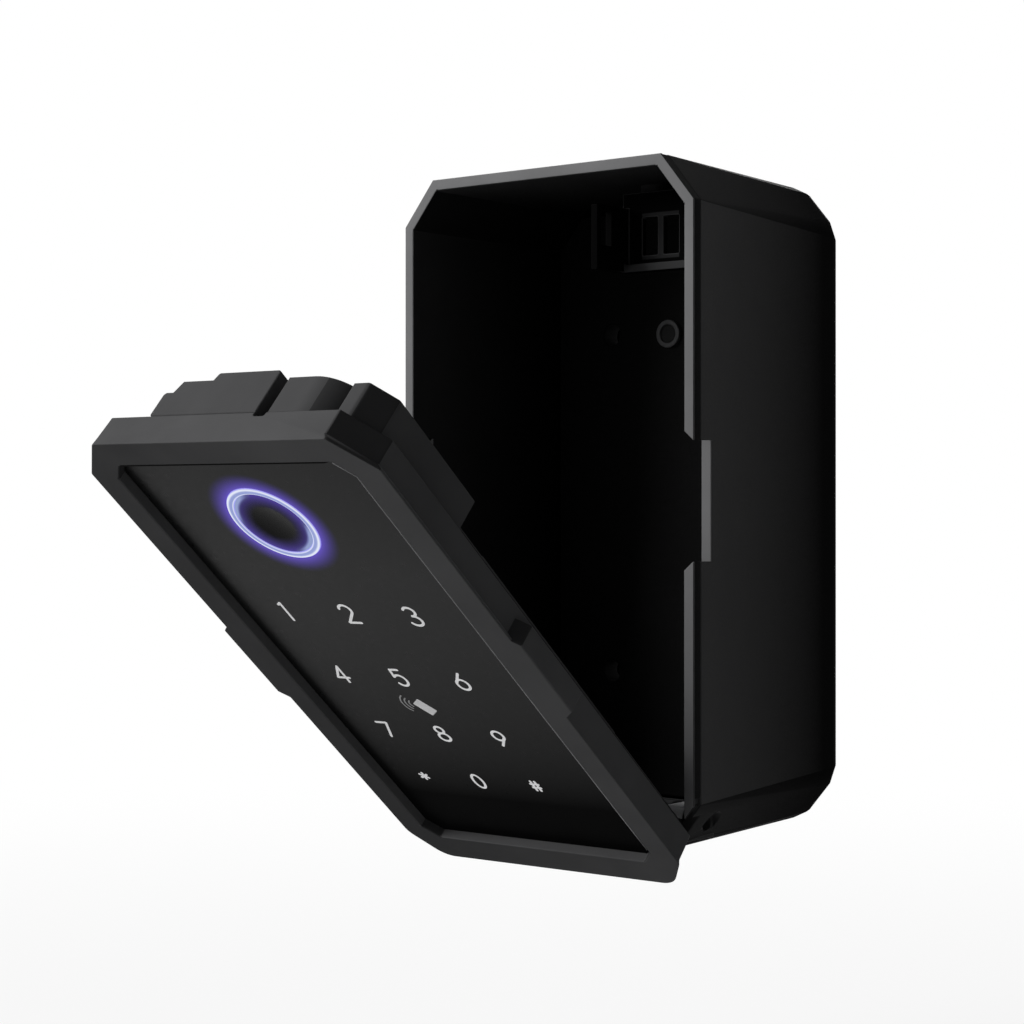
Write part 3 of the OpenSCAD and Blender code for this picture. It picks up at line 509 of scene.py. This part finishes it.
def print_material(name, level, glow):
    """Printed ink that is lit a little from behind."""
    s = Surface(name)
    s.set(Base_Color=s.ramp(s.noise(0.6*MM, 3), [(0.3, grey(level*0.9)), (0.7, grey(level))]))
    s.set(Roughness=s.vary(s.noise(0.5*MM), 0.45, 0.6))
    s.set(Emission_Color=(1, 1, 1), Emission_Strength=glow)
    return s


PRINT = print_material("print_white", 0.75, 0.2)
PRINT_GREY = print_material("print_grey", 0.5, 0.15)
PRINT_DIM = print_material("print_dim", 0.2, 0.04)


# Pieces
SAME_POINT = 0.04*MM
FLAT_TURN = math.radians(0.6)
EDGE_TURN = math.radians(24)
RUN_TURN = math.radians(35)
WIDEST = 1.5*MM
ROOM_STEP = 0.25*MM
ROOM_SHARE = 0.4


def new_piece(name, mesh, body, surfaces, node=None):
    """Adds a mesh to the scene on a body of the frame, in the place of a CAD node where one is given."""
    piece = bpy.data.objects.new(name, mesh)
    bpy.context.scene.collection.objects.link(piece)
    for surface in surfaces:
        mesh.materials.append(surface.material)
    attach(piece, body)
    if node:
        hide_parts(node)
    return piece


def edge_room(edges, reach):
    """For each edge, how far beside it the nearest other edge of the list runs, up to reach."""
    points = []
    for edge in edges:
        a, b = (v.co for v in edge.verts)
        count = max(1, math.ceil((b - a).length/ROOM_STEP))
        points += [(a.lerp(b, (i + 0.5)/count), edge) for i in range(count)]
    tree = KDTree(len(points))
    for i, (at, _) in enumerate(points):
        tree.insert(at, i)
    tree.balance()
    room = {edge: reach for edge in edges}
    for at, edge in points:
        run = (edge.verts[1].co - edge.verts[0].co).normalized()
        for found, i, gap in tree.find_range(at, room[edge]):
            other = points[i][1]
            beside = abs((found - at).dot(run)) < 0.7*gap
            if beside and not set(edge.verts) & set(other.verts):
                room[edge] = min(room[edge], gap)
    return room


def even_runs(widths):
    """Gives edges that run smoothly on into each other the smallest width among them."""
    left = set(widths)
    while left:
        run, ends = [], [left.pop()]
        while ends:
            edge = ends.pop()
            run.append(edge)
            for vert in edge.verts:
                ahead = vert.co - edge.other_vert(vert).co
                for other in vert.link_edges:
                    onward = other.other_vert(vert).co - vert.co
                    if other in left and ahead.angle(onward, math.pi) < RUN_TURN:
                        left.remove(other)
                        ends.append(other)
        least = min(widths[edge] for edge in run)
        for edge in run:
            widths[edge] = least


def softened(node, body, surfaces, width, paint=None, wide=None, level=None):
    """A copy of a CAD node with its flat faces joined and its edges rounded.

    Paint picks a face's surface and wide the width of an edge; faces square to level are shaded flat."""
    mesh = NODES[node].data.copy()
    mesh.name = node + "_soft"
    mesh.materials.clear()
    bm = bmesh.new()
    bm.from_mesh(mesh)
    bmesh.ops.remove_doubles(bm, verts=bm.verts, dist=SAME_POINT)
    bmesh.ops.dissolve_limit(bm, angle_limit=FLAT_TURN, verts=bm.verts, edges=bm.edges)
    bmesh.ops.triangulate(bm, faces=[face for face in bm.faces if len(face.verts) > 4])
    bm.normal_update()
    for face in bm.faces:
        face.material_index = paint(face) if paint else 0
        face.smooth = level is None or abs(face.normal.dot(level)) < 0.999
    weight = bm.edges.layers.float.new("bevel_weight_edge")
    sharp = [e for e in bm.edges if len(e.link_faces) == 2 and e.calc_face_angle() > EDGE_TURN]
    room = edge_room(sharp, WIDEST)
    widths = {}
    for edge in sharp:
        at = (edge.verts[0].co + edge.verts[1].co)/2
        asked = wide(edge, at, width) if wide else width
        widths[edge] = min(asked, ROOM_SHARE*room[edge])
    even_runs(widths)
    for edge in bm.edges:
        edge.smooth = True
    for edge in sharp:
        edge[weight] = widths[edge]/WIDEST
        edge.smooth = widths[edge] > 0
    bm.to_mesh(mesh)
    bm.free()
    if "custom_normal" in mesh.attributes:
        mesh.attributes.remove(mesh.attributes["custom_normal"])
    piece = new_piece(node + "_piece", mesh, body, surfaces, node)
    bevel = piece.modifiers.new("round", "BEVEL")
    bevel.width = WIDEST
    bevel.segments = 3
    bevel.limit_method = "WEIGHT"
    bevel.use_clamp_overlap = False
    bevel.loop_slide = False
    bevel.miter_outer = "MITER_ARC"
    flat = piece.modifiers.new("flat", "WEIGHTED_NORMAL")
    flat.mode = "FACE_AREA"
    flat.weight = 80
    flat.keep_sharp = True
    return piece


DOOR_FRONT = span("door_frame", REAR)[0]
LEFT, RIGHT = span("touch_panel", ACROSS)
FOOT, TOP = span("touch_panel", UP)
PANEL_MIDDLE = (FOOT + TOP)/2
PANEL_HALF_U = (RIGHT - LEFT)/2
PANEL_HALF_V = (TOP - FOOT)/2
FRONT_SLACK = 0.1*MM
BEZEL_DEEP = 1.6*MM
BLOCK_FOOT = TOP - 32*MM
SLOT_LEFT, SLOT_RIGHT = 7*MM, 10.8*MM


def edge_run(edge):
    return (edge.verts[0].co - edge.verts[1].co).normalized()


def door_edge(edge, at, width):
    """The outside of the door frame is rounder than the edge of its recess."""
    beside = abs(at.x) > PANEL_HALF_U + 1*MM
    outside = beside or abs(at.dot(UP) - PANEL_MIDDLE) > PANEL_HALF_V + 1.5*MM
    back = at.dot(REAR) - DOOR_FRONT
    if outside and FRONT_SLACK < back < BEZEL_DEEP:
        return 0.06*MM
    if outside and edge.is_convex and back <= FRONT_SLACK:
        return 0.34*MM
    return width


def cover_edge(edge, at, width):
    """Sharp inner corners; the latch block's outer ones are rounder, apart from those of the slot."""
    if not edge.is_convex:
        return 0
    run = edge_run(edge)
    on_block = at.dot(UP) > BLOCK_FOOT and not SLOT_LEFT < at.x < SLOT_RIGHT
    straight = abs(run.dot(UP)) > 0.95 or abs(run.dot(REAR)) > 0.95
    if on_block and straight and edge.calc_length() > 2.5*MM:
        return 1.2*MM
    return width


def case_edge(edge, at, width):
    """Long corner edges of the case are rounder than those of the rim and the notches."""
    if edge.is_convex and abs(edge_run(edge).y) > 0.95 and edge.calc_length() > 20*MM:
        return 0.5*MM
    return width


RIM = CASE_Y[0]
PIN_AT = middle("hinge_pin")
PIN_BORE_R = 3*MM
NOTCH_DEEP, NOTCH_X, NOTCH_HALF = 6.5*MM, 33*MM, 15*MM
CURB_Y = (RIM + 4*MM, RIM + 25*MM)
CURB_Z = (-62*MM, -50*MM)
BOSS_X = (23.8*MM, 29.5*MM)
BACK_Y = CASE_Y[1] - 6*MM
FLANGE_TOP = span("strike_bracket", UPRIGHT)[0] + 1.6*MM


def is_corner(normal, upward):
    """True for the slanted faces at the corners of the case and the door."""
    return abs(normal.x) > 0.3 and abs(normal.dot(upward)) > 0.3


def case_paint(face):
    """Light lip on the rim and the notches, light outer hinge bosses, slanted corners darkened as painted
    shade, plain back.
    """
    at = face.calc_center_median()
    on_rim = at.y < RIM + FRONT_SLACK
    in_notch = at.y < RIM + NOTCH_DEEP and abs(at.x) > NOTCH_X and abs(at.z) < NOTCH_HALF
    on_curb = CURB_Y[0] < at.y < CURB_Y[1] and CURB_Z[0] < at.z < CURB_Z[1]
    on_boss = on_curb and face.normal.z > 0.25 and BOSS_X[0] < abs(at.x) < BOSS_X[1]
    in_bore = math.hypot(at.y - PIN_AT.y, at.z - PIN_AT.z) < PIN_BORE_R
    if on_boss and not in_bore:
        return 4
    if face.normal.y < -0.9 and (on_rim or in_notch):
        return 1
    if face.normal.y > 0.3 and at.y > BACK_Y:
        return 3
    return 2 if is_corner(face.normal, UPRIGHT) else 0


def strike_paint(face):
    """Front of the lower flange, which takes a painted highlight."""
    return 1 if face.normal.y < -0.9 and face.calc_center_median().z < FLANGE_TOP else 0


def door_paint(face):
    """Slanted corners darkened as painted shade, and the front faces on a surface of their own, which on the
    door frame carries a painted shade towards the lower left.
    """
    if face.normal.dot(REAR) < -0.95:
        return 2
    return 1 if is_corner(face.normal, UP) else 0


softened("case_shell", "case", [CASE, LIP, CASE_CORNER_SHADE, CASE_BACK, BOSS], 0.3*MM,
         case_paint, case_edge)
softened("rim_band", "case", [RUBBER], 0.15*MM)
softened("back_liner", "case", [LINER], 0.5*MM)
softened("hole_plug", "case", [PLUG], 0.2*MM)
strike = softened("strike_bracket", "case", [STRIKE, EDGE_HIGHLIGHT], 0.2*MM, strike_paint)
# The rounded edges of the strike take the painted highlight
strike.modifiers["round"].material = 1
softened("door_frame", "door", [DOOR, DOOR_CORNER_SHADE, DOOR_FACE_SHADED], 0.3*MM, door_paint, door_edge)
softened("touch_panel", "door", [PANEL], 0.15*MM)
softened("sensor_cap", "door", [SENSOR], 0.2*MM)
softened("ring_lens", "door", [RING], 0.25*MM)
softened("rear_cover", "door", [COVER, DOOR_CORNER_SHADE, COVER], 0.35*MM,
         door_paint, cover_edge, REAR)
softened("door_seal", "door", [RUBBER], 0.4*MM)
softened("battery_lid", "lid", [COVER], 0.3*MM)
softened("latch_bolt", "bolt", [STEEL], 0.15*MM)
softened("drive_pinion", "pinion", [BRASS], 0.08*MM)
softened("hinge_bushes", "door", [BUSH], 0.2*MM)
softened("hinge_pin", "case", [STEEL], 0.3*MM)
softened("motor_clamp", "door", [STEEL], 0.12*MM)
softened("battery_cells", "door", [CELL], 0.4*MM)
softened("battery_contacts", "door", [STEEL], 0.08*MM)
for plain, surface in (("panel_tape", TAPE), ("touch_board", BOARD), ("sensor_board", BOARD),
                       ("main_board", BOARD), ("gear_motor", CAN)):
    for place in NODES[plain].material_slots:
        place.material = surface.material


def skin(bm, rings):
    """Joins rings of points into a solid with flat ends."""
    made = [[bm.verts.new(p) for p in ring] for ring in rings]
    sides = len(made[0])
    for lower, upper in zip(made, made[1:]):
        for i in range(sides):
            j = (i + 1) % sides
            bm.faces.new((lower[i], lower[j], upper[j], upper[i])).smooth = True
    bm.faces.new(made[0])
    bm.faces.new(made[-1])


def mesh_of(bm, name):
    """A mesh from closed solids, with its faces turned outwards."""
    bmesh.ops.recalc_face_normals(bm, faces=bm.faces)
    mesh = bpy.data.meshes.new(name)
    bm.to_mesh(mesh)
    bm.free()
    return mesh


def circle(sides):
    """Angles of the points of a ring."""
    return [2*math.pi*k/sides for k in range(sides)]


# Screws with a six-lobed drive, one for each in the CAD node

def islands(mesh):
    """Groups of joined points of a mesh, in the order of the mesh."""
    bm = bmesh.new()
    bm.from_mesh(mesh)
    bmesh.ops.remove_doubles(bm, verts=bm.verts, dist=0.002*MM)
    done = set()
    groups = []
    for seed in bm.verts:
        if seed in done:
            continue
        done.add(seed)
        group = [seed]
        for vert in group:
            others = [edge.other_vert(vert) for edge in vert.link_edges]
            group += [other for other in others if other not in done]
            done.update(others)
        groups.append([vert.co.copy() for vert in group])
    bm.free()
    return groups


def screws(node, body, axis):
    """Screws with rounded heads and a drive, in the place of plain ones; axis runs from tip to head."""
    side = axis.orthogonal().normalized()
    other = axis.cross(side)
    bm = bmesh.new()
    for points in islands(NODES[node].data):
        foot = min(p.dot(axis) for p in points)
        top = max(p.dot(axis) for p in points)
        head = [p for p in points if p.dot(axis) > top - 0.01*MM]
        low = [p for p in points if p.dot(axis) < foot + 0.01*MM]
        centre = sum(head, Vector())/len(head)
        head_r = max((p - centre).length for p in head)
        shank_r = max((p - sum(low, Vector())/len(low)).length for p in low)
        under = max(p.dot(axis) for p in points if p.dot(axis) < top - 0.05*MM)
        tall = top - under
        round_off = min(0.3*tall, 0.2*head_r)

        def lobes(mean, wave, height):
            ring = []
            for a in circle(48):
                out = side*math.cos(a) + other*math.sin(a)
                ring.append(centre + axis*height + out*(mean + wave*math.cos(6*a)))
            return ring

        rings = [lobes(shank_r*0.7, 0, foot - top), lobes(shank_r, 0, foot - top + 0.3*shank_r),
                 lobes(shank_r, 0, -tall), lobes(head_r, 0, -tall)]
        for k in range(5):
            a = math.radians(22.5*k)
            rings.append(lobes(head_r - round_off*(1 - math.cos(a)), 0, -round_off*(1 - math.sin(a))))
        rings += [lobes(head_r*0.5, head_r*0.09, 0), lobes(head_r*0.46, head_r*0.08, -0.6*tall)]
        skin(bm, rings)
    mesh = mesh_of(bm, node + "_turned")
    mesh.set_sharp_from_angle(angle=math.radians(35))
    new_piece(node + "_piece", mesh, body, [STEEL], node)


screws("cover_screws", "door", REAR)
screws("clamp_screws", "door", REAR)
screws("strike_screws", "case", -UPRIGHT)


# Beads on the edge of the recess: a painted highlight up the right side and round the upper corner, a painted
# shadow line along the top

def edge_line(name, path, radius, deep, surface):
    """Thin bead along a path of the door, given as distances across and up, deep behind the door's front."""
    bm = bmesh.new()
    rings = []
    for k, (x, v) in enumerate(path):
        at = ACROSS*x + UP*v + REAR*(DOOR_FRONT + deep)
        ahead, behind = path[min(k + 1, len(path) - 1)], path[max(k - 1, 0)]
        run = (ACROSS*(ahead[0] - behind[0]) + UP*(ahead[1] - behind[1])).normalized()
        out = run.cross(REAR)
        size = radius*(1 if 0 < k < len(path) - 1 else 0.3)
        rings.append([at + (out*math.cos(a) + REAR*math.sin(a))*size for a in circle(8)])
    skin(bm, rings)
    new_piece(name, mesh_of(bm, name), "door", [surface])


CUT_U, CUT_V = 3*MM, 3.4*MM
HIGHLIGHT_PATH = [(RIGHT, FOOT + 4*MM), (RIGHT, FOOT + 12*MM), (RIGHT, TOP - CUT_V),
              (RIGHT - 0.9*CUT_U, TOP - 0.1*CUT_V), (RIGHT - CUT_U, TOP)]
SHADOW_PATH = [(RIGHT - CUT_U - 1*MM, TOP), (RIGHT - CUT_U - 2*MM, TOP), (LEFT + CUT_U + 2*MM, TOP),
             (LEFT + CUT_U, TOP)]
edge_line("panel_edge_highlight", HIGHLIGHT_PATH, 0.1*MM, 0.12*MM, BEAD_HIGHLIGHT)
# A black bead stands in as a painted shadow line under the top of the bezel
edge_line("panel_edge_shadow", SHADOW_PATH, 0.2*MM, 0.25*MM, RUBBER)


# Printed numbers and the card mark on the panel

def arc(cx, cy, rx, ry, start, end):
    """Points along a part of an ellipse, between two angles in degrees."""
    count = max(4, int(abs(end - start)/12))
    turns = [math.radians(start + (end - start)*k/count) for k in range(count + 1)]
    return [(cx + rx*math.cos(a), cy + ry*math.sin(a)) for a in turns]


# Strokes of each sign, one unit tall
GLYPHS = {
    "1": [[(-0.14, 0.9), (0.0, 1.0), (0.0, 0.0)]],
    "2": [arc(0, 0.72, 0.27, 0.28, 165, -35) + [(-0.27, 0.0), (0.3, 0.0)]],
    "3": [arc(-0.02, 0.76, 0.25, 0.24, 150, -90), arc(-0.02, 0.26, 0.29, 0.26, 90, -150)],
    "4": [[(0.14, 0.0), (0.14, 1.0), (-0.28, 0.28), (0.32, 0.28)]],
    "5": [[(0.2, 1.0), (-0.19, 1.0), (-0.24, 0.54)] + arc(-0.01, 0.33, 0.28, 0.33, 132, -145)],
    "6": [[(0.14, 1.0), (-0.22, 0.46)], arc(0, 0.31, 0.28, 0.31, 0, 360)],
    "7": [[(-0.29, 1.0), (0.29, 1.0), (-0.06, 0.0)]],
    "8": [arc(0, 0.77, 0.22, 0.23, 0, 360), arc(0, 0.27, 0.28, 0.27, 0, 360)],
    "9": [[(-0.14, 0.0), (0.22, 0.54)], arc(0, 0.69, 0.28, 0.31, 0, 360)],
    "0": [arc(0, 0.5, 0.27, 0.5, 0, 360)],
    "star": [[(0.26*math.cos(a), 0.5 + 0.26*math.sin(a)), (-0.26*math.cos(a), 0.5 - 0.26*math.sin(a))]
             for a in (math.radians(d) for d in (90, 30, 150))],
    "hash": [[(-0.03, 0.22), (-0.03, 0.96)], [(0.22, 0.22), (0.22, 0.96)],
             [(-0.14, 0.45), (0.33, 0.45)], [(-0.14, 0.73), (0.33, 0.73)]],
}
# Each row's place up and across, the step between its columns and the height of its signs, in millimetres
KEY_ROWS = [(-24.4, 0.2, 15.2, 4.9, ("1", "2", "3")), (-42.8, -0.2, 14.6, 4.7, ("4", "5", "6")),
            (-59.9, -1.1, 13.9, 4.4, ("7", "8", "9")), (-75.1, -1.9, 13.7, 4.2, ("star", "0", "hash"))]
PRINT_T = 0.03*MM
PRINT_SUNK = 0.01*MM
PRINT_WIDE = 0.57*MM
LAYER = 0.0002*MM
END_SIDES = 10


def face_place(u, v, lift=0.0):
    """Point on the panel face, by distance from the ring's centre."""
    return RING_FACE + ACROSS*u + UP*v - REAR*lift


def round_end(at, turn, half):
    """Half a circle about a point, facing along turn."""
    turns = [turn + math.pi*(i/END_SIDES - 0.5) for i in range(END_SIDES + 1)]
    return [at + half*Vector((math.cos(a), math.sin(a))) for a in turns]


def stroke(bm, points, width):
    """Flat ribbon with round ends along points of the panel face, given in metres from the ring's centre."""
    path = [Vector(p) for p in points]
    for k, (a, b) in enumerate(zip(path, path[1:])):
        turn = math.atan2(b.y - a.y, b.x - a.x)
        outline = round_end(b, turn, width/2) + round_end(a, turn + math.pi, width/2)
        top = [bm.verts.new(face_place(p.x, p.y, PRINT_T + LAYER*(k % 7))) for p in outline]
        foot = [bm.verts.new(face_place(p.x, p.y, -PRINT_SUNK)) for p in outline]
        bm.faces.new(top)
        for i in range(len(top)):
            j = (i + 1) % len(top)
            bm.faces.new((foot[i], foot[j], top[j], top[i]))


def printed(name, strokes, width, surface):
    """One printed sign as a piece of its own."""
    bm = bmesh.new()
    for points in strokes:
        stroke(bm, points, width)
    new_piece(name, mesh_of(bm, name), "door", [surface])


def placed(strokes, u, v, size):
    """A sign's strokes, sized and moved to a place on the panel."""
    return [[(u + x*size, v + (y - 0.5)*size) for x, y in points] for points in strokes]


for v, u, step, tall, names in KEY_ROWS:
    for column, name in enumerate(names):
        size = tall*MM*(1 if name.isdigit() else 0.92)
        strokes = placed(GLYPHS[name], (u + (column - 1)*step)*MM, v*MM, size)
        printed("print_" + name, strokes, PRINT_WIDE, PRINT)

CARD_AT = Vector((0.15*MM, -51.6*MM))
CARD_TURN = math.radians(-52)
CARD_HALF = 1.85
CARD_LONG = Vector((math.cos(CARD_TURN), math.sin(CARD_TURN)))
CARD_WIDE = Vector((-CARD_LONG.y, CARD_LONG.x))


def card_point(along, across):
    """A point of the card mark, by millimetres along and across the card."""
    point = CARD_AT + CARD_LONG*along*MM + CARD_WIDE*across*MM
    return point.x, point.y


CARD = [[card_point(-CARD_HALF, across), card_point(CARD_HALF, across)] for across in (-1, -0.5, 0, 0.5, 1)]
WAVES_U, WAVES_V = CARD_AT.x - 2.2*MM, CARD_AT.y + 0.9*MM
WAVES = [arc(WAVES_U, WAVES_V, r*MM, r*MM, 125, 235) for r in (1.0, 1.9, 2.8)]
printed("print_card", CARD, 0.62*MM, PRINT_GREY)
printed("print_waves", WAVES, 0.3*MM, PRINT_DIM)
